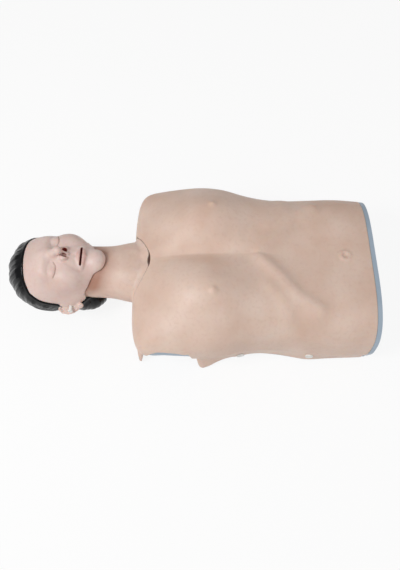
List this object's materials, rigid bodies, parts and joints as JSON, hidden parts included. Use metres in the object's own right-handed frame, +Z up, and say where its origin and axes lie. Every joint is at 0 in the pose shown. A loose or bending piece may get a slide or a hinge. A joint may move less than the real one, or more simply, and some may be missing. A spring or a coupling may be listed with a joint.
{
  "type": "cpr training manikin",
  "caption": "Half-body resuscitation training manikin with tilting head, sprung chest plate, soft skins and hard case.",
  "frame": {"origin": "middle of the underside of the torso case, on the surface it lies on", "axes": "+X to the waist end, head at -X, +Y to the manikin's left side as seen lying with the head at -X, +Z up"},
  "size_m": [0.7382, 0.375, 0.2112],
  "materials": {
    "body_vinyl": "matt, soft moulded vinyl",
    "face_vinyl": "matt, soft moulded vinyl",
    "hair": "glossy black moulding",
    "case": "pale blue-grey moulded plastic",
    "white": "white moulded plastic",
    "inner": "natural moulded plastic",
    "mouth": "dark red, soft",
    "hose": "translucent hose",
    "film": "thin clear film",
    "steel": "zinc plated",
    "bumper": "black rubber"
  },
  "bodies": {
    "torso": {"base_tray": "case", "upper_shell": "case", "case_screws": "steel", "chest_skin": "body_vinyl", "skin_snaps": "white", "guide_tube": "inner", "tube_screws": "steel", "bump_stop": "bumper", "compression_spring": "steel", "neck_strut": "inner", "neck_bolts": "steel", "pivot_pin": "steel", "pivot_clips": "steel", "friction_washers": "inner", "airway_hose": "hose", "neck_skin": "face_vinyl"},
    "plate": {"chest_plate": "inner", "guide_post": "inner", "post_screws": "steel", "lung_bag": "film"},
    "head": {"face_skin": "face_vinyl", "skull_frame": "inner", "hair_shell": "hair", "mouth_insert": "mouth", "airway_tube": "hose", "skull_screws": "steel", "ear_pegs": "white"}
  },
  "joints": [
    {"name": "chest_press", "type": "slide", "parent": "torso", "child": "plate", "axis": [0, 0, -1], "range_m": [0, 0.055], "stiffness_N_per_m": 8500, "springref_m": -0.006, "deforming": ["compression_spring"]},
    {"name": "head_tilt", "type": "hinge", "parent": "torso", "child": "head", "pos_m": [-0.395, 0, 0.095], "axis": [0, -1, 0], "range_deg": [-10, 20]}
  ]
}
